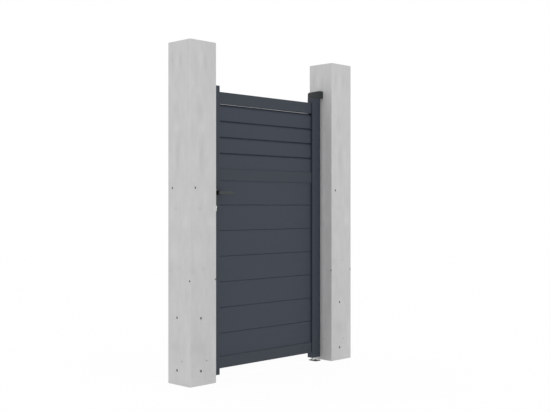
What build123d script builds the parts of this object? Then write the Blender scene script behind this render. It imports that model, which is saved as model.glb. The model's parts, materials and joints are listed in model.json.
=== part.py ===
"""Pedestrian gate of coated aluminium, hung on pivots between two concrete pillars (millimetres).

The origin is the centre of the hinge pillar's base. +X runs right as seen from the front, +Y away
from the front and +Z up. The leaf hangs in the plane Y = 0, left of the hinge pillar, and turns on
the vertical line through the middle of its hinge stile.
"""
import os

from build123d import *

# Pillars and the gaps around the leaf
pillar_width = 200
pillar_height = 2000
pillar_arris = 2
ground_gap = 25
hinge_gap = 26.5
lock_gap = 18.5

# Leaf frame
leaf_width = 990
leaf_height = 1739
stile_width = 80
stile_depth = 45
stile_wall = 2.5
stile_corner = 3
rail_height = 70
rail_thickness = 30
rail_wall = 2.5
rail_corner = 1.5
rail_inset = 35
rail_groove = 14
fit_gap = 0.3

# Tongue-and-groove boards of the lower panel
board_count = 7
board_cover = 155
board_thickness = 20
board_wall = 1.6
board_vee = 2.8
board_lap = 6
tongue_height = 7
tongue_thickness = 5
tongue_room = 1
slot_entry = 10

# Louvre blades of the upper panel
blade_count = 4
blade_thickness = 8
blade_wall = 1.4
blade_overlap = 3
bevel_height = 20
bevel_run = 11
lip_thickness = 2
lip_depth = 10
vent_slit = 2.5

# Stile caps and pivot bushes
cap_thickness = 3
cap_plug = 15
cap_wall = 3
bush_plug = 36

# Pivots
pin_diameter = 16
pin_engagement = 26
pin_chamfer = 1.5
plate_length = 66
plate_width = 50
plate_offset = 8
plate_thickness = 5
plate_corner = 6
anchor_diameter = 9
anchor_spacing = 46
collar_diameter = 24
collar_height = 5

# Top hinge bracket
bracket_clearance = 1.5
bracket_height = 50.5
bracket_drop = 16.5
bracket_level = 27
bracket_depth = 46
bracket_nose = 16
bracket_shoulder = 30
bracket_edge = 6

# Lock, cylinder and keep
lever_height = 1119
cylinder_drop = 85
cylinder_round = 17
cylinder_tail = 10
cylinder_height = 33
cylinder_stand = 1
keyway_width = 2.4
keyway_height = 8.5
keyway_depth = 12
forend_width = 24
forend_length = 235
forend_thickness = 3
forend_rise = 65
case_depth = 57
case_thickness = 15
case_height = 165
case_rise = 42
latch_height = 26
latch_width = 12
latch_stand = 2
bolt_height = 36
bolt_width = 10
bolt_stand = 1
bolt_drop = 62
keep_thickness = 5
keep_width = 48
keep_length = 230
keep_corner = 4
stop_clearance = 5
stop_thickness = 6
stop_reach = 32
keep_pocket_width = 16
keep_latch_pocket = 44
keep_bolt_pocket = 48

# Lever set
rose_width = 32
rose_length = 147
rose_thickness = 8
rose_rise = 30
rose_edge = 2
lever_reach = 122
lever_stand = 50
hub_diameter = 25
grip_root = 19
grip_height = 18
grip_thickness = 11
grip_edge = 2
running_gap = 0.4
spindle_size = 8
spindle_hole = 20
follower_hole = 13
spindle_fit = 0.2
socket_depth = 24

# Places along X
hinge_reveal_x = -pillar_width / 2
pivot_x = hinge_reveal_x - hinge_gap - stile_width / 2
lock_stile_x = pivot_x + stile_width - leaf_width
lock_edge_x = lock_stile_x - stile_width / 2
lock_reveal_x = lock_edge_x - lock_gap
lock_pillar_x = lock_reveal_x - pillar_width / 2
panel_width = leaf_width - 2 * stile_width
panel_left_x = lock_stile_x + stile_width / 2

# Heights
leaf_bottom = ground_gap
leaf_top = leaf_bottom + leaf_height
stile_bottom = leaf_bottom + cap_thickness
stile_top = leaf_top - cap_thickness
bottom_rail_z = leaf_bottom + rail_inset
top_rail_z = leaf_top - rail_inset - rail_height
board_seat = bottom_rail_z + rail_height - rail_groove
boards_top = board_seat + board_count * board_cover
mid_rail_z = boards_top - board_lap
louvre_bottom = mid_rail_z + rail_height + fit_gap
blade_pitch = (top_rail_z - vent_slit - blade_overlap - louvre_bottom) / blade_count
cylinder_z = lever_height - cylinder_drop

# Sections shared by several pieces
groove_width = board_thickness + 2 * fit_gap
cavity_width = stile_width - 2 * stile_wall
cavity_depth = stile_depth - 2 * stile_wall
entry_width = panel_width + 2 * slot_entry
entry_left_x = panel_left_x - slot_entry
pin_hole = pin_diameter + 2 * fit_gap
forend_hole_width = forend_width + 2 * fit_gap
forend_hole_length = forend_length + 2 * fit_gap
forend_z = lever_height + forend_rise - forend_length / 2
case_z = lever_height + case_rise - case_height / 2
rose_z = lever_height + rose_rise - rose_length / 2
rose_face = stile_depth / 2 + rose_thickness

FRONT = -1
BACK = 1

os.makedirs("parts", exist_ok=True)


def save(part, name):
    """Label a finished piece and write it as its own file."""
    part.label = name
    export_step(part, f"parts/{name}.step")


def pillar(name, centre_x):
    """A square cast pillar, standing on the ground, with its free edges taken off."""
    with BuildPart() as post:
        with BuildSketch(Plane.XY):
            with Locations((centre_x, 0)):
                Rectangle(pillar_width, pillar_width)
        extrude(amount=pillar_height)
        free_edges = post.edges().filter_by(Axis.Z) + post.faces().sort_by(Axis.Z)[-1].edges()
        chamfer(free_edges, pillar_arris)
    save(post.part, name)


def stile_section(centre_x):
    """The hollow box section of a stile, in plan."""
    with Locations((centre_x, 0)):
        RectangleRounded(stile_width, stile_depth, stile_corner)
        Rectangle(cavity_width, cavity_depth, mode=Mode.SUBTRACT)


def panel_slot(face_x):
    """Cut the long slot in a stile's inner wall that takes the ends of the boards and blades."""
    with Locations((face_x, 0, (board_seat + top_rail_z) / 2)):
        Box(2 * stile_wall, groove_width, top_rail_z - board_seat, mode=Mode.SUBTRACT)


def euro_profile(centre_x, centre_z, clearance=0):
    """A lock cylinder's outline seen from the front: a round barrel with a narrower tail below."""
    round_size = cylinder_round + 2 * clearance
    tail_size = cylinder_tail + 2 * clearance
    tail_drop = cylinder_height - cylinder_round / 2 - cylinder_tail / 2
    with Locations((centre_x, centre_z)):
        Circle(round_size / 2)
    with Locations((centre_x, centre_z - tail_drop / 2)):
        Rectangle(tail_size, tail_drop)
    with Locations((centre_x, centre_z - tail_drop)):
        Circle(tail_size / 2)


def cut_lock_openings(depth):
    """Cut the spindle hole and the cylinder opening through a piece, across the leaf."""
    with BuildSketch(Plane.XZ) as openings:
        with Locations((lock_stile_x, lever_height)):
            Circle(spindle_hole / 2)
        euro_profile(lock_stile_x, cylinder_z, fit_gap)
    extrude(openings.sketch, amount=depth, both=True, mode=Mode.SUBTRACT)


def facing_plane(side, distance, height):
    """The plane across the lock stile's middle line, out to one side, with its x along +X."""
    return Plane(origin=(lock_stile_x, side * distance, height), x_dir=(1, 0, 0), z_dir=(0, side, 0))


def hinge_stile():
    """The stile that carries the pivots, slotted towards the panel."""
    with BuildPart() as stile:
        with BuildSketch(Plane.XY.offset(stile_bottom)):
            stile_section(pivot_x)
        extrude(amount=stile_top - stile_bottom)
        panel_slot(pivot_x - stile_width / 2)
    save(stile.part, "hinge_stile")


def lock_stile():
    """The stile that holds the lock, with its forend slot and the openings across it."""
    with BuildPart() as stile:
        with BuildSketch(Plane.XY.offset(stile_bottom)):
            stile_section(lock_stile_x)
        extrude(amount=stile_top - stile_bottom)
        panel_slot(panel_left_x)
        with Locations((lock_edge_x, 0, forend_z)):
            Box(2 * stile_wall, forend_hole_width, forend_hole_length, mode=Mode.SUBTRACT)
        cut_lock_openings(stile_depth)
    save(stile.part, "lock_stile")


def cap(name, centre_x, face_z, inward, plug_length, bore_depth=0):
    """An end cap with a plug that fits the stile's cavity; a pivot bush also has a blind bore."""
    flange_plane = Plane(origin=(centre_x, 0, face_z), z_dir=(0, 0, inward))
    with BuildPart() as piece:
        with BuildSketch(flange_plane):
            RectangleRounded(stile_width, stile_depth, stile_corner)
        extrude(amount=cap_thickness)
        with BuildSketch(flange_plane.offset(cap_thickness)):
            Rectangle(cavity_width - 2 * fit_gap, cavity_depth - 2 * fit_gap)
        extrude(amount=plug_length)
        if bore_depth:
            with BuildSketch(flange_plane):
                Circle(pin_hole / 2)
            extrude(amount=bore_depth, mode=Mode.SUBTRACT)
        else:
            with BuildSketch(flange_plane.offset(cap_thickness)):
                Rectangle(cavity_width - 2 * cap_wall, cavity_depth - 2 * cap_wall)
            extrude(amount=plug_length, mode=Mode.SUBTRACT)
    save(piece.part, name)


def rail(name, base_z, groove_side=0):
    """A hollow cross rail between the stiles; groove_side is 1 for a groove on top, -1 below."""
    middle_z = base_z + rail_height / 2
    groove_reach = rail_groove if groove_side else 0
    cavity_height = rail_height - 2 * rail_wall - groove_reach
    with BuildPart() as bar:
        with BuildSketch(Plane.YZ.offset(panel_left_x)):
            with Locations((0, middle_z)):
                RectangleRounded(rail_thickness, rail_height, rail_corner)
            with Locations((0, middle_z - groove_side * groove_reach / 2)):
                Rectangle(rail_thickness - 2 * rail_wall, cavity_height, mode=Mode.SUBTRACT)
            if groove_side:
                with Locations((0, middle_z + groove_side * (rail_height - rail_groove) / 2)):
                    Rectangle(groove_width, rail_groove, mode=Mode.SUBTRACT)
        extrude(amount=panel_width)
    save(bar.part, name)


def board(name, base_z):
    """A hollow board: tongue above, groove below, and bevelled edges that make a vee at each joint."""
    groove_depth = tongue_height + tongue_room
    cell_bottom = base_z + groove_depth + board_wall
    cell_height = (base_z + board_cover - 2 * board_wall - cell_bottom) / 2
    with BuildPart() as plank:
        with BuildSketch(Plane.YZ.offset(entry_left_x)) as section:
            with Locations((0, base_z + board_cover / 2)):
                Rectangle(board_thickness, board_cover)
            chamfer(section.vertices(), board_vee)
            with Locations((0, base_z + board_cover + tongue_height / 2)):
                Rectangle(tongue_thickness, tongue_height)
            with Locations((0, base_z + groove_depth / 2)):
                Rectangle(tongue_thickness + 2 * fit_gap, groove_depth, mode=Mode.SUBTRACT)
            for cell in range(2):
                with Locations((0, cell_bottom + cell * (cell_height + board_wall) + cell_height / 2)):
                    Rectangle(board_thickness - 2 * board_wall, cell_height, mode=Mode.SUBTRACT)
        extrude(amount=entry_width)
    save(plank.part, name)


def louvre_blade(name, base_z):
    """A hollow blade, bevelled along its upper front edge, with a lip that rises behind the next blade."""
    front_y = -board_thickness / 2
    back_y = front_y + blade_thickness
    lip_y = front_y + bevel_run
    top_z = base_z + blade_pitch + blade_overlap
    knee_z = top_z - bevel_height
    cell_height = (knee_z - base_z - 3 * blade_wall) / 2
    with BuildPart() as blade:
        with BuildSketch(Plane.YZ.offset(entry_left_x)):
            with BuildLine():
                Polyline(
                    (front_y, base_z),
                    (front_y, knee_z),
                    (lip_y, top_z),
                    (lip_y + lip_thickness, top_z),
                    (lip_y + lip_thickness, top_z - lip_depth),
                    (back_y, top_z - lip_depth),
                    (back_y, base_z),
                    close=True,
                )
            make_face()
            for cell in range(2):
                cell_z = base_z + blade_wall + cell * (cell_height + blade_wall) + cell_height / 2
                with Locations(((front_y + back_y) / 2, cell_z)):
                    Rectangle(blade_thickness - 2 * blade_wall, cell_height, mode=Mode.SUBTRACT)
        extrude(amount=entry_width)
    save(blade.part, name)


def ground_pivot():
    """The plate bolted to the ground under the hinge stile, with the hole that its pin is set in."""
    plate_x = pivot_x + plate_offset
    with BuildPart() as plate:
        with BuildSketch(Plane.XY):
            with Locations((plate_x, 0)):
                RectangleRounded(plate_width, plate_length, plate_corner)
            with Locations((plate_x, -anchor_spacing / 2), (plate_x, anchor_spacing / 2)):
                Circle(anchor_diameter / 2, mode=Mode.SUBTRACT)
            with Locations((pivot_x, 0)):
                Circle(pin_hole / 2, mode=Mode.SUBTRACT)
        extrude(amount=plate_thickness)
    save(plate.part, "ground_pivot")


def ground_pin():
    """The pin that the leaf turns on, with the collar that carries it on the plate."""
    with BuildPart() as pin:
        with BuildSketch(Plane.XY):
            with Locations((pivot_x, 0)):
                Circle(pin_diameter / 2)
        extrude(amount=leaf_bottom + pin_engagement)
        chamfer(pin.faces().sort_by(Axis.Z)[-1].edges(), pin_chamfer)
        with BuildSketch(Plane.XY.offset(plate_thickness)):
            with Locations((pivot_x, 0)):
                Circle(collar_diameter / 2)
        extrude(amount=collar_height)
    save(pin.part, "ground_pin")


def top_hinge_bracket():
    """The casting on the hinge pillar that reaches over the stile and holds the upper pin."""
    base_z = leaf_top + bracket_clearance
    crown_z = base_z + bracket_height
    nose_x = pivot_x - stile_width / 2
    level_x = hinge_reveal_x - bracket_level
    with BuildPart() as bracket:
        with BuildSketch(Plane.XZ) as side:
            with BuildLine():
                Polyline(
                    (hinge_reveal_x, base_z),
                    (hinge_reveal_x, crown_z),
                    (level_x, crown_z),
                    (nose_x, crown_z - bracket_drop),
                    (nose_x, base_z),
                    close=True,
                )
            make_face()
            nose_top = side.vertices().group_by(Axis.X)[0].sort_by(Axis.Y)[-1]
            fillet(nose_top, bracket_nose)
            shoulder = side.vertices().group_by(Axis.Y)[-1].sort_by(Axis.X)[0]
            fillet(shoulder, bracket_shoulder)
        extrude(amount=bracket_depth / 2, both=True)
        # The outline is smooth, so rounding starts at the nose and runs along the whole upper edge.
        fillet(bracket.edges().filter_by(Axis.Z).group_by(Axis.X)[0], bracket_edge)
        with BuildSketch(Plane.XY.offset(base_z)):
            with Locations((pivot_x, 0)):
                Circle(pin_diameter / 2)
        extrude(amount=-(bracket_clearance + pin_engagement))
        chamfer(bracket.faces().sort_by(Axis.Z)[0].edges(), pin_chamfer)
    save(bracket.part, "top_hinge_bracket")


def mortise_lock():
    """The lock in the stile: its forend, the ends of its latch and bolt, and its case."""
    forend_face_x = lock_edge_x + forend_thickness
    latch_z = lever_height
    bolt_z = lever_height - bolt_drop
    with BuildPart() as lock:
        with BuildSketch(Plane.YZ.offset(lock_edge_x)):
            with Locations((0, forend_z)):
                Rectangle(forend_width, forend_length)
        extrude(amount=forend_thickness)
        with BuildSketch(Plane.YZ.offset(forend_face_x)):
            with Locations((0, case_z)):
                Rectangle(case_thickness, case_height)
        extrude(amount=case_depth)
        with BuildSketch(Plane.YZ.offset(lock_edge_x)):
            with Locations((0, bolt_z)):
                Rectangle(bolt_width, bolt_height)
        extrude(amount=-bolt_stand)
        with BuildSketch(Plane.XY.offset(latch_z - latch_height / 2)):
            with BuildLine():
                Polyline(
                    (lock_edge_x, -latch_width / 2),
                    (lock_edge_x, latch_width / 2),
                    (lock_edge_x - latch_stand, -latch_width / 2),
                    close=True,
                )
            make_face()
        extrude(amount=latch_height)
        with BuildSketch(Plane.XZ):
            with Locations((lock_stile_x, lever_height)):
                Circle(follower_hole / 2)
            euro_profile(lock_stile_x, cylinder_z, fit_gap)
        extrude(amount=case_thickness, both=True, mode=Mode.SUBTRACT)
    save(lock.part, "mortise_lock")


def key_cylinder():
    """The profile cylinder through the lock, with a keyway in each end."""
    reach = rose_face + cylinder_stand
    with BuildPart() as cylinder:
        with BuildSketch(Plane.XZ):
            euro_profile(lock_stile_x, cylinder_z)
        extrude(amount=reach, both=True)
        for side in (FRONT, BACK):
            with BuildSketch(facing_plane(side, reach, cylinder_z)):
                Rectangle(keyway_width, keyway_height)
            extrude(amount=-keyway_depth, mode=Mode.SUBTRACT)
    save(cylinder.part, "key_cylinder")


def handle_plate(name, side):
    """The narrow plate on one face of the lock stile, pierced for the spindle and the cylinder."""
    with BuildPart() as plate:
        with BuildSketch(facing_plane(side, stile_depth / 2, rose_z)):
            RectangleRounded(rose_width, rose_length, rose_width / 2 - rose_edge)
        extrude(amount=rose_thickness)
        outer_face = plate.faces().sort_by(Axis.Y)[-1 if side == BACK else 0]
        chamfer(outer_face.edges(), rose_edge)
        cut_lock_openings(rose_face + rose_thickness)
    save(plate.part, name)


def lever_hub(name, side):
    """The round hub on the spindle, between the plate and the grip."""
    foot = facing_plane(side, rose_face + running_gap, lever_height)
    with BuildPart() as hub:
        with BuildSketch(foot):
            Circle(hub_diameter / 2)
        extrude(amount=lever_stand - grip_thickness - rose_thickness - running_gap)
        with BuildSketch(foot):
            Rectangle(spindle_size + spindle_fit, spindle_size + spindle_fit)
        extrude(amount=socket_depth, mode=Mode.SUBTRACT)
    save(hub.part, name)


def lever(name, side):
    """The flat grip on the hub's end, round at both ends and a little slimmer towards the hinges."""
    grip_back = facing_plane(side, stile_depth / 2 + lever_stand - grip_thickness, lever_height)
    with BuildPart() as grip:
        with BuildSketch(grip_back):
            Circle(grip_root / 2)
            with Locations((lever_reach - grip_height / 2, 0)):
                Circle(grip_height / 2)
            make_hull()
        extrude(amount=grip_thickness)
        outer_face = grip.faces().sort_by(Axis.Y)[-1 if side == BACK else 0]
        chamfer(outer_face.edges(), grip_edge)
    save(grip.part, name)


def spindle():
    """The square bar that joins the two levers through the lock."""
    reach = rose_face + running_gap + socket_depth - fit_gap
    with BuildPart() as bar:
        with BuildSketch(Plane.XZ):
            with Locations((lock_stile_x, lever_height)):
                Rectangle(spindle_size, spindle_size)
        extrude(amount=reach, both=True)
    save(bar.part, "spindle")


def lock_keep():
    """The keep on the lock pillar: pockets for the latch and bolt, and a lip that stops the leaf."""
    stop_y = -stile_depth / 2 - stop_clearance
    with BuildPart() as keep:
        with BuildSketch(Plane.YZ.offset(lock_reveal_x)):
            with Locations((stop_y - stop_thickness + keep_width / 2, forend_z)):
                RectangleRounded(keep_width, keep_length, keep_corner)
            with Locations((0, lever_height)):
                Rectangle(keep_pocket_width, keep_latch_pocket, mode=Mode.SUBTRACT)
            with Locations((0, lever_height - bolt_drop)):
                Rectangle(keep_pocket_width, keep_bolt_pocket, mode=Mode.SUBTRACT)
        extrude(amount=keep_thickness)
        with BuildSketch(Plane.XZ.offset(-stop_y)):
            with Locations((lock_reveal_x + stop_reach / 2, forend_z)):
                Rectangle(stop_reach, keep_length - 2 * keep_corner)
        extrude(amount=stop_thickness)
    save(keep.part, "lock_keep")


pillar("hinge_pillar", 0)
pillar("lock_pillar", lock_pillar_x)
top_hinge_bracket()
ground_pivot()
ground_pin()
lock_keep()
hinge_stile()
lock_stile()
cap("lock_stile_top_cap", lock_stile_x, leaf_top, -1, cap_plug)
cap("lock_stile_bottom_cap", lock_stile_x, leaf_bottom, 1, cap_plug)
cap("top_pivot_bush", pivot_x, leaf_top, -1, bush_plug, pin_engagement + fit_gap)
cap("bottom_pivot_bush", pivot_x, leaf_bottom, 1, bush_plug, pin_engagement + fit_gap)
rail("bottom_rail", bottom_rail_z, groove_side=1)
rail("mid_rail", mid_rail_z, groove_side=-1)
rail("top_rail", top_rail_z)
for index in range(board_count):
    board(f"board_{index + 1}", board_seat + index * board_cover)
for index in range(blade_count):
    louvre_blade(f"louvre_blade_{index + 1}", louvre_bottom + index * blade_pitch)
mortise_lock()
key_cylinder()
for side_name, facing in (("front", FRONT), ("back", BACK)):
    handle_plate(f"{side_name}_handle_plate", facing)
    lever_hub(f"{side_name}_lever_hub", facing)
    lever(f"{side_name}_lever", facing)
spindle()
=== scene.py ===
"""Looks of the pedestrian gate: anthracite coated aluminium leaf, black hinge parts, plated lock
parts and two cast concrete pillars, on a plain white floor. Metres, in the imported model's frame.
"""

import json
import math

import bmesh
import bpy
from mathutils import Matrix, Vector


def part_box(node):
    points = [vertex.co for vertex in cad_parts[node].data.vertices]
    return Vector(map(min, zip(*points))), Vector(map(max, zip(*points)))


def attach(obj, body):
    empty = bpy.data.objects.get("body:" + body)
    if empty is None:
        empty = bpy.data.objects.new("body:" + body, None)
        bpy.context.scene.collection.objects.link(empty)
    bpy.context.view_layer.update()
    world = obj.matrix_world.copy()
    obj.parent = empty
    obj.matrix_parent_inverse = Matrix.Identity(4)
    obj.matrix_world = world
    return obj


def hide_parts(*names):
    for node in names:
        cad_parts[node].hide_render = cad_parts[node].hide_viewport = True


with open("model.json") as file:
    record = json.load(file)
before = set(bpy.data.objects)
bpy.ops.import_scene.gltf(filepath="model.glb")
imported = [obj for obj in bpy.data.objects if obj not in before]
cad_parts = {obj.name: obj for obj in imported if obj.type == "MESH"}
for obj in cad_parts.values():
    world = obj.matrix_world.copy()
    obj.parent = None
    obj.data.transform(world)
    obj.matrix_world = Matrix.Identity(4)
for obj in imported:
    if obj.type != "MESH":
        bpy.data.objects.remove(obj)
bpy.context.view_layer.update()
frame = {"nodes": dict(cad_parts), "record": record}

# Camera, as the photograph was taken: level, the gate at about 45 degrees to the picture
PICTURE_WIDTH_PX = 550
FOCAL_PX = 897.3
SENSOR_MM = 36.0
CAMERA_PLACE = (-4.6577, -4.0448, 1.0400)
CAMERA_TURN_DEG = 45.51
LEVEL_DEG = 90

# Floor and light
FLOOR_SIZE = 60.0
FLOOR_COLOUR = (0.95, 0.95, 0.95, 1)
FLOOR_WHITENESS = 0.95
WHITE = (1, 1, 1, 1)
SKY_STRENGTH = 1.0

# Finishes: the deepest and the palest tone of each
CONCRETE = ((0.514, 0.514, 0.515, 1), (0.594, 0.594, 0.595, 1))
FRAME_COAT = ((0.016, 0.024, 0.039, 1), (0.024, 0.032, 0.047, 1))
PANEL_COAT = ((0.018, 0.026, 0.044, 1), (0.026, 0.034, 0.052, 1))
HANDLE_COAT = ((0.022, 0.029, 0.032, 1), (0.030, 0.037, 0.040, 1))
CASTING_BLACK = ((0.024, 0.028, 0.028, 1), (0.036, 0.041, 0.041, 1))
PLASTIC_BLACK = ((0.030, 0.032, 0.035, 1), (0.040, 0.043, 0.047, 1))
# Black nylon, taken far below nylon's own black as painted shade for the hubs' gap beside the lock pillar
HUB_BLACK_AND_PAINTED_SHADE = ((0.004, 0.004, 0.005, 1), (0.008, 0.008, 0.009, 1))
ZINC = ((0.56, 0.57, 0.58, 1), (0.74, 0.74, 0.74, 1))
NICKEL = ((0.64, 0.63, 0.61, 1), (0.78, 0.77, 0.75, 1))
# Painted shade: the dark grey that the air holes and the fine pores are blended towards
HOLE_PAINTED_SHADE = (0.15, 0.15, 0.15, 1)
LEAF_ROUGHNESS = 0.58
HANDLE_ROUGHNESS = 0.45

# Edges that turn by more than this stay crisp
PILLAR_CREASE_DEG = 20
NODE_CREASE_DEG = 30
FASTENER_CREASE_DEG = 35

# Cast pillars
PILLAR_WIDTH = 0.2
ARRIS = 0.0020
WELD = 0.00001
# Air holes that casting leaves in each face: share across, height, radius, depth
AIR_HOLES = (
    (0.20, 1.145, 0.0062, 0.0080),
    (0.970, 0.609, 0.0058, 0.0075),
    (0.41, 0.390, 0.0068, 0.0085),
    (0.41, 0.084, 0.0073, 0.0090),
    (0.63, 0.140, 0.0038, 0.0042),
)
HOLE_STAND = 0.0004
HOLE_STRETCH = 1.15
HOLE_SUBDIVISIONS = 3
# How deep into an air hole the painted shade reaches its full strength
HOLE_PAINTED_SHADE_DEPTH = 0.004
# Fine pores: how many to the metre, their size as a share of their spacing, and how many are open
PORE_SCALE = 130.0
PORE_REACH = 0.08
PORE_CHANCE = 0.5
# Stains that the mould leaves on each face, then painted highlights along the arrises and painted light at
# the foot: share across, height, half width, half height, change of tone
STAIN_AND_LIGHT_FADE = 0.4
STAINS_AND_PAINTED_LIGHT = (
    (0.20, 1.890, 0.009, 0.036, -0.62),
    (0.40, 1.875, 0.012, 0.050, 0.56),
    (0.58, 1.880, 0.009, 0.038, -0.75),
    (0.08, 1.775, 0.014, 0.035, 0.38),
    (0.34, 1.600, 0.024, 0.040, -0.44),
    (0.44, 1.500, 0.026, 0.026, 0.38),
    (0.44, 1.360, 0.018, 0.090, -0.56),
    (0.28, 1.320, 0.010, 0.080, 0.31),
    (0.66, 1.375, 0.010, 0.060, 0.31),
    (0.60, 1.085, 0.008, 0.045, 0.31),
    (0.36, 1.025, 0.010, 0.009, -0.88),
    (0.77, 0.950, 0.022, 0.026, 0.69),
    (0.26, 0.780, 0.030, 0.075, 0.38),
    (0.12, 0.665, 0.014, 0.014, -0.50),
    (0.50, 0.675, 0.014, 0.010, -0.50),
    (0.34, 0.222, 0.055, 0.032, -0.45),
    (0.88, 0.170, 0.016, 0.120, 0.38),
    # Painted highlights along the two upright arrises of each face
    (0.00, 1.000, 0.004, 4.000, 0.44),
    (1.00, 1.000, 0.004, 4.000, 0.75),
    # Painted light: a paler band at the foot of each face, standing in for the light the floor throws there
    (0.50, 0.060, 0.400, 0.260, 0.12),
    (0.50, 0.000, 0.400, 0.090, 0.36),
)

# Fasteners
SEGMENTS = 24
HEXAGON = 6
MM = 0.001
SCREW_RADIUS = 0.0060
SCREW_RISE = 0.0032
SMALL_SCREW_RADIUS = 0.0042
SMALL_SCREW_RISE = 0.0006
GRUB_RADIUS = 0.0026
GRUB_RISE = 0.0002
# A screw head's shape, in shares of its radius and its rise
SCREW_SOCKET = 0.42
SCREW_CROWN = 0.86
SCREW_SUNK = 0.2
SCREW_SHOULDER = 0.6
SCREW_SOCKET_FLOOR = 0.25
BOLT_WIDTH = 0.013
BOLT_RISE = 0.0053
WASHER_RADIUS = 0.0082
WASHER_RISE = 0.0016
# The bevels of the bolt head and its washer, in shares of their sizes
BOLT_CROWN = 0.93
BOLT_BEVEL = 0.12
WASHER_CROWN = 0.96
WASHER_SHOULDER = 0.8
# The cylinder's rotor
ROTOR_RADIUS = 0.0066
ROTOR_WIDTH = 0.0008
ROTOR_RISE = 0.0003
CYLINDER_ROUND_RADIUS = 0.0085
# Where the fasteners sit
RAIL_SCREW_SPACING = 0.040
PLATE_SCREW_INSET = 0.011
FOREND_SCREW_INSET = 0.010
KEEP_THICKNESS = 0.005
KEEP_SCREW_INSET = 0.014
GRUB_INSET = 0.012


class Socket:
    """A node's output that takes part in Python expressions: each operation adds its Math node."""

    def __init__(self, finish, output):
        self.finish = finish
        self.output = output

    def math(self, operation, first, second):
        return self.finish.node("ShaderNodeMath", {"operation": operation}, {0: first, 1: second})

    def __add__(self, other):
        return self.math("ADD", self, other)

    def __radd__(self, other):
        return self.math("ADD", other, self)

    def __sub__(self, other):
        return self.math("SUBTRACT", self, other)

    def __rsub__(self, other):
        return self.math("SUBTRACT", other, self)

    def __mul__(self, other):
        return self.math("MULTIPLY", self, other)

    def __rmul__(self, other):
        return self.math("MULTIPLY", other, self)

    def __rpow__(self, other):
        return self.math("POWER", other, self)

    def __lt__(self, other):
        return self.math("LESS_THAN", self, other)


class Finish:
    """A surface finish: one material with one shader, and the one method that adds its nodes."""

    def __init__(self, name, **constants):
        self.material = bpy.data.materials.new(name)
        self.material.use_nodes = True
        self.tree = self.material.node_tree
        self.shader = self.tree.nodes["Principled BSDF"]
        for words, value in constants.items():
            self.feed(self.shader.inputs[words.replace("_", " ")], value)

    def node(self, kind, settings, inputs, output=0):
        made = self.tree.nodes.new(kind)
        for name, value in settings.items():
            setattr(made, name, value)
        for name, value in inputs.items():
            self.feed(made.inputs[name], value)
        return Socket(self, made.outputs[output])

    def feed(self, target, value):
        if isinstance(value, Socket):
            self.tree.links.new(value.output, target)
        else:
            target.default_value = value

    def place(self, stretch=(1, 1, 1)):
        """The point on the piece, in metres, with each direction multiplied by stretch."""
        point = self.node("ShaderNodeTexCoord", {}, {}, "Object")
        return self.node("ShaderNodeVectorMath", {"operation": "MULTIPLY"}, {0: point, 1: stretch})

    def noise(self, place, scale, detail=2.0, roughness=0.5):
        """Soft noise about zero, scale features to the metre."""
        inputs = {"Vector": place, "Scale": scale, "Detail": detail, "Roughness": roughness}
        return self.node("ShaderNodeTexNoise", {}, inputs) - 0.5

    def blend(self, share, first, second):
        """A colour between two others."""
        return self.node("ShaderNodeMix", {"data_type": "RGBA"}, {0: share, 6: first, 7: second}, 2)

    def colour(self, value):
        self.feed(self.shader.inputs["Base Color"], value)

    def roughness(self, value):
        self.feed(self.shader.inputs["Roughness"], value)

    def relief(self, height, distance, strength):
        """Raise the surface by height times distance, in metres."""
        inputs = {"Strength": strength, "Distance": distance, "Height": height}
        self.feed(self.shader.inputs["Normal"], self.node("ShaderNodeBump", {}, inputs))


def open_pores(finish, place):
    """Fine round pores, 1 inside a pore and 0 elsewhere, in some of the cells of a loose pattern."""
    cells = {"Vector": place, "Scale": PORE_SCALE}
    distance = finish.node("ShaderNodeTexVoronoi", {}, cells, "Distance")
    cell_colour = finish.node("ShaderNodeTexVoronoi", {}, cells, "Color")
    chance = finish.node("ShaderNodeSeparateColor", {}, {"Color": cell_colour}, "Red")
    return (distance < PORE_REACH) * (chance < PORE_CHANCE)


def cast_concrete():
    """Smooth grey cast concrete: cloudy and stained by its mould, with painted shade in its fine pores and
    air holes, painted shade that deepens downwards, painted light at the foot and painted highlights along
    the arrises.
    """
    finish = Finish("cast_concrete", Specular_IOR_Level=0.2)
    place = finish.place()
    clouds = finish.noise(finish.place((1, 1, 0.4)), scale=14.0)
    streaks = finish.noise(finish.place((1, 1, 0.3)), scale=42.0)
    grain = finish.noise(place, scale=520.0, detail=4.0, roughness=0.7)
    pores = open_pores(finish, place)
    # How deep each point lies in an air hole, which sets the painted shade there
    hollow = finish.node("ShaderNodeAttribute", {"attribute_name": "air_hole"}, {}, "Fac")
    face = finish.node("ShaderNodeUVMap", {"uv_map": "cast_face"}, {})
    share = finish.node("ShaderNodeSeparateXYZ", {}, {"Vector": face}, "X")
    height = finish.node("ShaderNodeSeparateXYZ", {}, {"Vector": face}, "Y")
    # Painted shade: the height term makes the concrete darker towards the foot; the clouds, streaks and
    # grain are its own tone
    tone = 0.40 + height * 0.10 + clouds + streaks * 0.7 + grain * 3.0
    # Each row adds a real mould stain, a painted highlight or painted light to the tone
    for stain_and_light_share, stain_and_light_height, half_width, half_height, change in STAINS_AND_PAINTED_LIGHT:
        across = (share - stain_and_light_share) * (PILLAR_WIDTH / half_width)
        upward = (height - stain_and_light_height) * (1 / half_height)
        tone = tone + change * STAIN_AND_LIGHT_FADE ** (across * across + upward * upward)
    skin = finish.blend(tone, *CONCRETE)
    # Painted shade in the air holes, and at half strength in the fine pores
    finish.colour(finish.blend(hollow + pores * 0.5, skin, HOLE_PAINTED_SHADE))
    finish.roughness(0.86 + grain * 0.2 + clouds * 0.1)
    finish.relief(grain * 0.4 + clouds * 0.5 - pores * 0.6, distance=0.0006, strength=0.5)
    return finish.material


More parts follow.
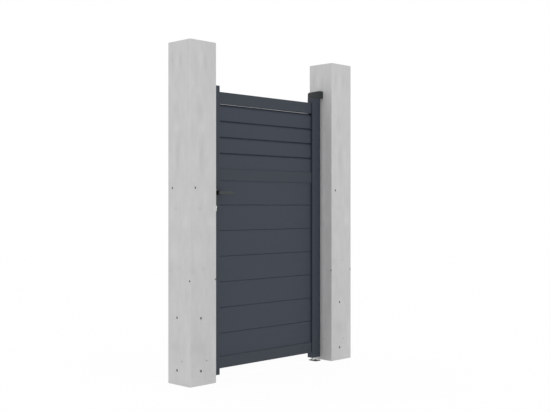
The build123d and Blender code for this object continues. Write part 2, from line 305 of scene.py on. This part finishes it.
def powder_coat(name, tones, roughness):
    """Fine-textured powder coat on aluminium: a tight orange peel and a faint sparkle of tone."""
    finish = Finish(name, Specular_IOR_Level=0.5)
    place = finish.place()
    texture = finish.noise(place, scale=1500.0)
    drift = finish.noise(place, scale=5.0)
    finish.colour(finish.blend(0.5 + texture * 0.7 + drift * 0.6, *tones))
    finish.roughness(roughness + texture * 0.16 + drift * 0.05)
    finish.relief(texture, distance=0.0004, strength=0.5)
    return finish.material


def black_casting():
    """Matt black coat over a sand casting: a coarser skin than the leaf's coat."""
    finish = Finish("black_casting", Specular_IOR_Level=0.3)
    place = finish.place()
    skin = finish.noise(place, scale=700.0, detail=3.0, roughness=0.6)
    wash = finish.noise(place, scale=30.0)
    finish.colour(finish.blend(0.5 + skin * 0.6 + wash * 0.4, *CASTING_BLACK))
    finish.roughness(0.56 + skin * 0.2 + wash * 0.1)
    finish.relief(skin, distance=0.0004, strength=0.5)
    return finish.material


def moulded_black():
    """Black moulded plastic of the caps and bushes, with a fine spark-eroded grain."""
    finish = Finish("moulded_black", Specular_IOR_Level=0.4)
    grain = finish.noise(finish.place(), scale=1100.0, roughness=0.6)
    finish.colour(finish.blend(0.5 + grain * 0.8, *PLASTIC_BLACK))
    finish.roughness(0.5 + grain * 0.2)
    finish.relief(grain, distance=0.0002, strength=0.4)
    return finish.material


def black_nylon():
    """Black nylon of the lever hubs, deepened to near black as painted shade for the gap beside the lock
    pillar.
    """
    finish = Finish("black_nylon", Specular_IOR_Level=0.15)
    grain = finish.noise(finish.place(), scale=900.0, roughness=0.6)
    # Painted shade: the hub's tone is taken to near black
    finish.colour(finish.blend(0.5 + grain * 0.8, *HUB_BLACK_AND_PAINTED_SHADE))
    finish.roughness(0.6 + grain * 0.2)
    finish.relief(grain, distance=0.0002, strength=0.3)
    return finish.material


def zinc_plate():
    """Bright zinc plate on steel: cloudy, with a slight blue cast and small scratches."""
    finish = Finish("zinc_plate", Metallic=1.0)
    clouds = finish.noise(finish.place(), scale=90.0, detail=3.0, roughness=0.6)
    scratches = finish.noise(finish.place((1, 14, 1)), scale=260.0)
    finish.colour(finish.blend(0.5 + clouds * 1.2, *ZINC))
    finish.roughness(0.36 + clouds * 0.25 + scratches * 0.15)
    finish.relief(scratches, distance=0.00006, strength=0.3)
    return finish.material


def satin_nickel():
    """Satin nickel plate, finely brushed across."""
    finish = Finish("satin_nickel", Metallic=1.0)
    brushing = finish.noise(finish.place((1, 1, 16)), scale=420.0)
    finish.colour(finish.blend(0.5 + brushing * 0.8, *NICKEL))
    finish.roughness(0.27 + brushing * 0.18)
    finish.relief(brushing, distance=0.00004, strength=0.3)
    return finish.material


def white_floor():
    """A pale floor that the camera and mirrors see as white, with the object's shadow left faint."""
    finish = Finish("white_floor", Roughness=0.9, Specular_IOR_Level=0.1)
    finish.colour(FLOOR_COLOUR)
    camera = finish.node("ShaderNodeLightPath", {}, {}, "Is Camera Ray")
    mirror = finish.node("ShaderNodeLightPath", {}, {}, "Is Glossy Ray")
    glass = finish.node("ShaderNodeLightPath", {}, {}, "Is Transmission Ray")
    seen = (camera + mirror + glass) * FLOOR_WHITENESS
    glow = finish.node("ShaderNodeEmission", {}, {"Color": WHITE, "Strength": 1.0})
    surface = Socket(finish, finish.shader.outputs["BSDF"])
    mixed = finish.node("ShaderNodeMixShader", {}, {0: seen, 1: surface, 2: glow})
    finish.feed(finish.tree.nodes["Material Output"].inputs["Surface"], mixed)
    finish.material.cycles.emission_sampling = "NONE"
    return finish.material


def slot_finishes():
    """The finish of each material slot in the record."""
    return {
        "concrete": cast_concrete(),
        "coated_frame": powder_coat("coated_frame", FRAME_COAT, LEAF_ROUGHNESS),
        "coated_panel": powder_coat("coated_panel", PANEL_COAT, LEAF_ROUGHNESS),
        "black_casting": black_casting(),
        "black_plastic": moulded_black(),
        "black_nylon": black_nylon(),
        "zinc_steel": zinc_plate(),
        "nickel": satin_nickel(),
        "handle_coat": powder_coat("handle_coat", HANDLE_COAT, HANDLE_ROUGHNESS),
    }


def smooth(mesh, crease_deg):
    """Smooth shading, with edges sharper than the crease angle kept crisp."""
    mesh.polygons.foreach_set("use_smooth", [True] * len(mesh.polygons))
    mesh.set_sharp_from_angle(angle=math.radians(crease_deg))


def dress_nodes(finishes):
    """Give every CAD node the finish of its material slot."""
    for row in frame["record"]["subparts"]:
        node = frame["nodes"][row["node"]]
        node.data.materials.clear()
        node.data.materials.append(finishes[row["material_slot"]])
        smooth(node.data, NODE_CREASE_DEG)


def to_mesh(shape, name):
    """Turn a worked shape into a mesh and let the shape go."""
    mesh = bpy.data.meshes.new(name)
    shape.to_mesh(mesh)
    shape.free()
    return mesh


def new_piece(name, mesh, material, body):
    """Link a finished mesh as a piece that rides on a body and takes a material slot."""
    piece = bpy.data.objects.new(name, mesh)
    bpy.context.scene.collection.objects.link(piece)
    mesh.materials.clear()
    mesh.materials.append(material)
    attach(piece, body)
    return piece


def plain_pillar(name, low, high):
    """A pillar before its holes are cut, with its free edges taken off and its foot left square."""
    block = bmesh.new()
    fill = Matrix.Translation((low + high) / 2) @ Matrix.Diagonal((*(high - low), 1))
    bmesh.ops.create_cube(block, size=1, matrix=fill)
    free_edges = [edge for edge in block.edges if max(v.co.z for v in edge.verts) > high.z - ARRIS]
    bmesh.ops.bevel(block, geom=free_edges, offset=ARRIS, segments=1, affect="EDGES")
    return to_mesh(block, name)


def air_hole_cutters(low, high):
    """The rounded shapes that leave the air holes, the same on each of a pillar's four faces."""
    size = high - low
    holes = bmesh.new()
    foot = Matrix.Translation(((low.x + high.x) / 2, (low.y + high.y) / 2, low.z))
    for quarter in range(4):
        turn = Matrix.Rotation(quarter * math.pi / 2, 4, "Z")
        for share, height, radius, depth in AIR_HOLES:
            point = Vector((size.x * (share - 0.5), -size.y / 2 - HOLE_STAND, height))
            shape = Matrix.Diagonal((radius, depth, radius * HOLE_STRETCH, 1))
            where = foot @ turn @ Matrix.Translation(point) @ shape
            bmesh.ops.create_icosphere(holes, subdivisions=HOLE_SUBDIVISIONS, radius=1, matrix=where)
    return to_mesh(holes, "air_holes")


def cut_away(block_mesh, cutter_mesh):
    """The block less the cutters, welded into one closed skin of triangles."""
    block = bpy.data.objects.new("uncut_pillar", block_mesh)
    cutter = bpy.data.objects.new("air_hole_cutter", cutter_mesh)
    for part in (block, cutter):
        bpy.context.scene.collection.objects.link(part)
    cut = block.modifiers.new("air_holes", "BOOLEAN")
    cut.operation = "DIFFERENCE"
    cut.solver = "EXACT"
    cut.object = cutter
    bpy.context.view_layer.update()
    ready = block.evaluated_get(bpy.context.evaluated_depsgraph_get())
    mesh = bpy.data.meshes.new_from_object(ready)
    for part in (block, cutter):
        bpy.data.objects.remove(part)
    skin = bmesh.new()
    skin.from_mesh(mesh)
    bmesh.ops.remove_doubles(skin, verts=skin.verts, dist=WELD)
    bmesh.ops.dissolve_degenerate(skin, edges=skin.edges, dist=WELD)
    bmesh.ops.triangulate(skin, faces=skin.faces)
    skin.to_mesh(mesh)
    skin.free()
    return mesh


def mark_hole_painted_shade(mesh, low, high):
    """Mark each point by how deep it lies in an air hole, from 0 on the faces to 1, for the painted shade
    in the holes.
    """
    hollow = mesh.attributes.new("air_hole", "FLOAT", "POINT")
    for vertex, mark in zip(mesh.vertices, hollow.data):
        point = vertex.co
        inset = min(point.x - low.x, high.x - point.x, point.y - low.y, high.y - point.y)
        below_top = point.z < high.z - 2 * ARRIS
        mark.value = min(1.0, max(0.0, inset / HOLE_PAINTED_SHADE_DEPTH)) if below_top else 0.0


def map_faces(mesh, low, high):
    """Map each side of a pillar alike: the share across it from left to right, and the height in metres."""
    corners = mesh.uv_layers.new(name="cast_face").data
    for polygon in mesh.polygons:
        normal = polygon.normal
        for loop in polygon.loop_indices:
            point = mesh.vertices[mesh.loops[loop].vertex_index].co
            if abs(normal.x) > abs(normal.y):
                share = (point.y - low.y) / (high.y - low.y)
                facing = normal.x > 0
            else:
                share = (point.x - low.x) / (high.x - low.x)
                facing = normal.y < 0
            corners[loop].uv = (share if facing else 1 - share, point.z - low.z)


def cast_pillar(node, material):
    """A pillar with its free edges taken off and the air holes that casting leaves in each face."""
    name = f"{node}_cast"
    low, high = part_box(node)
    mesh = cut_away(plain_pillar(name, low, high), air_hole_cutters(low, high))
    mark_hole_painted_shade(mesh, low, high)
    map_faces(mesh, low, high)
    smooth(mesh, PILLAR_CREASE_DEG)
    piece = new_piece(name, mesh, material, "posts")
    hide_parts(node)


def ring(radius, height, sides=0):
    """A loop of points round the axis: a circle, or a polygon of the given sides with that inner radius."""
    points = []
    for step in range(SEGMENTS):
        angle = 2 * math.pi * step / SEGMENTS
        reach = radius
        if sides:
            wedge = 2 * math.pi / sides
            reach = radius / math.cos((angle % wedge) - wedge / 2)
        points.append((reach * math.cos(angle), reach * math.sin(angle), height))
    return points


def socket_screw(radius, rise):
    """Rings of a round screw head with a hexagon socket, from its seat up and into the socket."""
    return [
        ring(radius, -rise * SCREW_SUNK),
        ring(radius, rise * SCREW_SHOULDER),
        ring(radius * SCREW_CROWN, rise),
        ring(radius * SCREW_SOCKET, rise, HEXAGON),
        ring(radius * SCREW_SOCKET, rise * SCREW_SOCKET_FLOOR, HEXAGON),
    ]


def hexagon_bolt():
    """Rings of a hexagon bolt head on its washer."""
    half = BOLT_WIDTH / 2
    top = WASHER_RISE + BOLT_RISE
    return [
        ring(WASHER_RADIUS, 0),
        ring(WASHER_RADIUS, WASHER_RISE * WASHER_SHOULDER),
        ring(WASHER_RADIUS * WASHER_CROWN, WASHER_RISE),
        ring(half, WASHER_RISE, HEXAGON),
        ring(half, top - BOLT_RISE * BOLT_BEVEL, HEXAGON),
        ring(half * BOLT_CROWN, top),
    ]


def rotor_ring():
    """Rings of the raised edge round a lock cylinder's rotor."""
    inner = ROTOR_RADIUS - ROTOR_WIDTH
    return [
        ring(ROTOR_RADIUS, -ROTOR_RISE),
        ring(ROTOR_RADIUS, ROTOR_RISE),
        ring(inner, ROTOR_RISE),
        ring(inner, -ROTOR_RISE),
    ]


def turned_pieces(name, rings, places, material, body, hollow=False):
    """One piece of the same turned shape at several places, each a point and an outward axis.

    A hollow shape is a ring, whose last loop joins its first; the others are closed at both ends.
    """
    shape = bmesh.new()
    for point, axis in places:
        spin = Vector(axis).to_track_quat("Z", "Y").to_matrix().to_4x4()
        where = Matrix.Translation(point) @ spin
        loops = [[shape.verts.new(where @ Vector(corner)) for corner in loop] for loop in rings]
        following = loops[1:] + loops[:1] if hollow else loops[1:]
        for lower, upper in zip(loops, following):
            for step in range(SEGMENTS):
                after = (step + 1) % SEGMENTS
                shape.faces.new((lower[step], lower[after], upper[after], upper[step]))
        if not hollow:
            ends = [shape.faces.new(reversed(loops[0])), shape.faces.new(loops[-1])]
            bmesh.ops.poke(shape, faces=ends)
    mesh = to_mesh(shape, name)
    smooth(mesh, FASTENER_CREASE_DEG)
    new_piece(name, mesh, material, body)


def middle(node):
    """The centre of a CAD node's box."""
    low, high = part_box(node)
    return (low + high) / 2


def rail_screw_places():
    """Two screws through each stile's outer face into each end of the three rails."""
    places = []
    for rail in ("bottom_rail", "mid_rail", "top_rail"):
        for stile, outward in (("lock_stile", -1), ("hinge_stile", 1)):
            low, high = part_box(stile)
            face_x = high.x if outward > 0 else low.x
            for step in (-0.5, 0.5):
                height = middle(rail).z + step * RAIL_SCREW_SPACING
                places.append(((face_x, 0, height), (outward, 0, 0)))
    return places


def plate_screw_places():
    """A screw at each end of both handle plates."""
    places = []
    for plate, outward in (("front_handle_plate", -1), ("back_handle_plate", 1)):
        low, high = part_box(plate)
        face_y = high.y if outward > 0 else low.y
        for height in (low.z + PLATE_SCREW_INSET, high.z - PLATE_SCREW_INSET):
            places.append(((middle(plate).x, face_y, height), (0, outward, 0)))
    return places


def forend_screw_places():
    """A screw at each end of the lock's forend, in the leaf's edge."""
    low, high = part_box("mortise_lock")
    face_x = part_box("lock_stile")[0].x
    heights = (low.z + FOREND_SCREW_INSET, high.z - FOREND_SCREW_INSET)
    return [((face_x, 0, height), (-1, 0, 0)) for height in heights]


def keep_screw_places():
    """A screw through each end of the keep into the lock pillar."""
    low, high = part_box("lock_keep")
    face_x = low.x + KEEP_THICKNESS
    heights = (low.z + KEEP_SCREW_INSET, high.z - KEEP_SCREW_INSET)
    return [((face_x, 0, height), (1, 0, 0)) for height in heights]


def anchor_places():
    """The two ground anchors of the lower pivot's plate, as the record states them."""
    mount = next(m for m in frame["record"]["mounts"] if m["name"] == "ground_pivot_anchors")
    centre = Vector(mount["pos_m"])
    half = mount["dims"]["spacing_y_mm"] * MM / 2
    return [(centre + Vector((0, step * half, 0)), (0, 0, 1)) for step in (-1, 1)]


def rotor_places():
    """The rotor's ring on both ends of the lock cylinder."""
    low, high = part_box("key_cylinder")
    centre_x = middle("key_cylinder").x
    height = high.z - CYLINDER_ROUND_RADIUS
    return [((centre_x, low.y, height), (0, -1, 0)), ((centre_x, high.y, height), (0, 1, 0))]


def grub_places():
    """The grub screw under each lever's hub."""
    places = []
    centre_x = middle("spindle").x
    for hub, outward in (("front_lever_hub", -1), ("back_lever_hub", 1)):
        low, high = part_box(hub)
        foot_y = high.y if outward < 0 else low.y
        places.append(((centre_x, foot_y + outward * GRUB_INSET, low.z), (0, 0, -1)))
    return places


def add_fasteners(zinc, nickel):
    """The screws, bolts and rings that the CAD pieces are held or finished with."""
    screw = socket_screw(SCREW_RADIUS, SCREW_RISE)
    small_screw = socket_screw(SMALL_SCREW_RADIUS, SMALL_SCREW_RISE)
    grub = socket_screw(GRUB_RADIUS, GRUB_RISE)
    turned_pieces("rail_screws", screw, rail_screw_places(), zinc, "leaf")
    turned_pieces("plate_screws", small_screw, plate_screw_places(), zinc, "leaf")
    turned_pieces("forend_screws", small_screw, forend_screw_places(), zinc, "leaf")
    turned_pieces("keep_screws", small_screw, keep_screw_places(), zinc, "posts")
    turned_pieces("anchor_bolts", hexagon_bolt(), anchor_places(), zinc, "posts")
    turned_pieces("rotor_rings", rotor_ring(), rotor_places(), nickel, "leaf", hollow=True)
    turned_pieces("grub_screws", grub, grub_places(), zinc, "handle")


def lay_floor():
    """A plain white floor under the pillars."""
    mesh = bpy.data.meshes.new("floor")
    half = FLOOR_SIZE / 2
    corners = [(-half, -half, 0), (half, -half, 0), (half, half, 0), (-half, half, 0)]
    mesh.from_pydata(corners, [], [(0, 1, 2, 3)])
    floor = bpy.data.objects.new("floor", mesh)
    bpy.context.scene.collection.objects.link(floor)
    mesh.materials.append(white_floor())


def light_evenly():
    """Even white surroundings, which light the gate softly from all sides."""
    world = bpy.data.worlds.new("even_sky")
    world.use_nodes = True
    sky = world.node_tree.nodes["Background"]
    sky.inputs["Color"].default_value = WHITE
    sky.inputs["Strength"].default_value = SKY_STRENGTH
    bpy.context.scene.world = world
    bpy.context.scene.view_settings.view_transform = "Standard"


def set_camera():
    """The camera where the photograph was taken from."""
    lens = bpy.data.cameras.new("camera")
    lens.sensor_width = SENSOR_MM
    lens.lens = FOCAL_PX * SENSOR_MM / PICTURE_WIDTH_PX
    camera = bpy.data.objects.new("camera", lens)
    camera.location = CAMERA_PLACE
    camera.rotation_euler = (math.radians(LEVEL_DEG), 0, math.radians(-CAMERA_TURN_DEG))
    bpy.context.scene.collection.objects.link(camera)
    bpy.context.scene.camera = camera


finishes = slot_finishes()
dress_nodes(finishes)
for pillar_node in ("hinge_pillar", "lock_pillar"):
    cast_pillar(pillar_node, finishes["concrete"])
add_fasteners(finishes["zinc_steel"], finishes["nickel"])
lay_floor()
light_evenly()
set_camera()
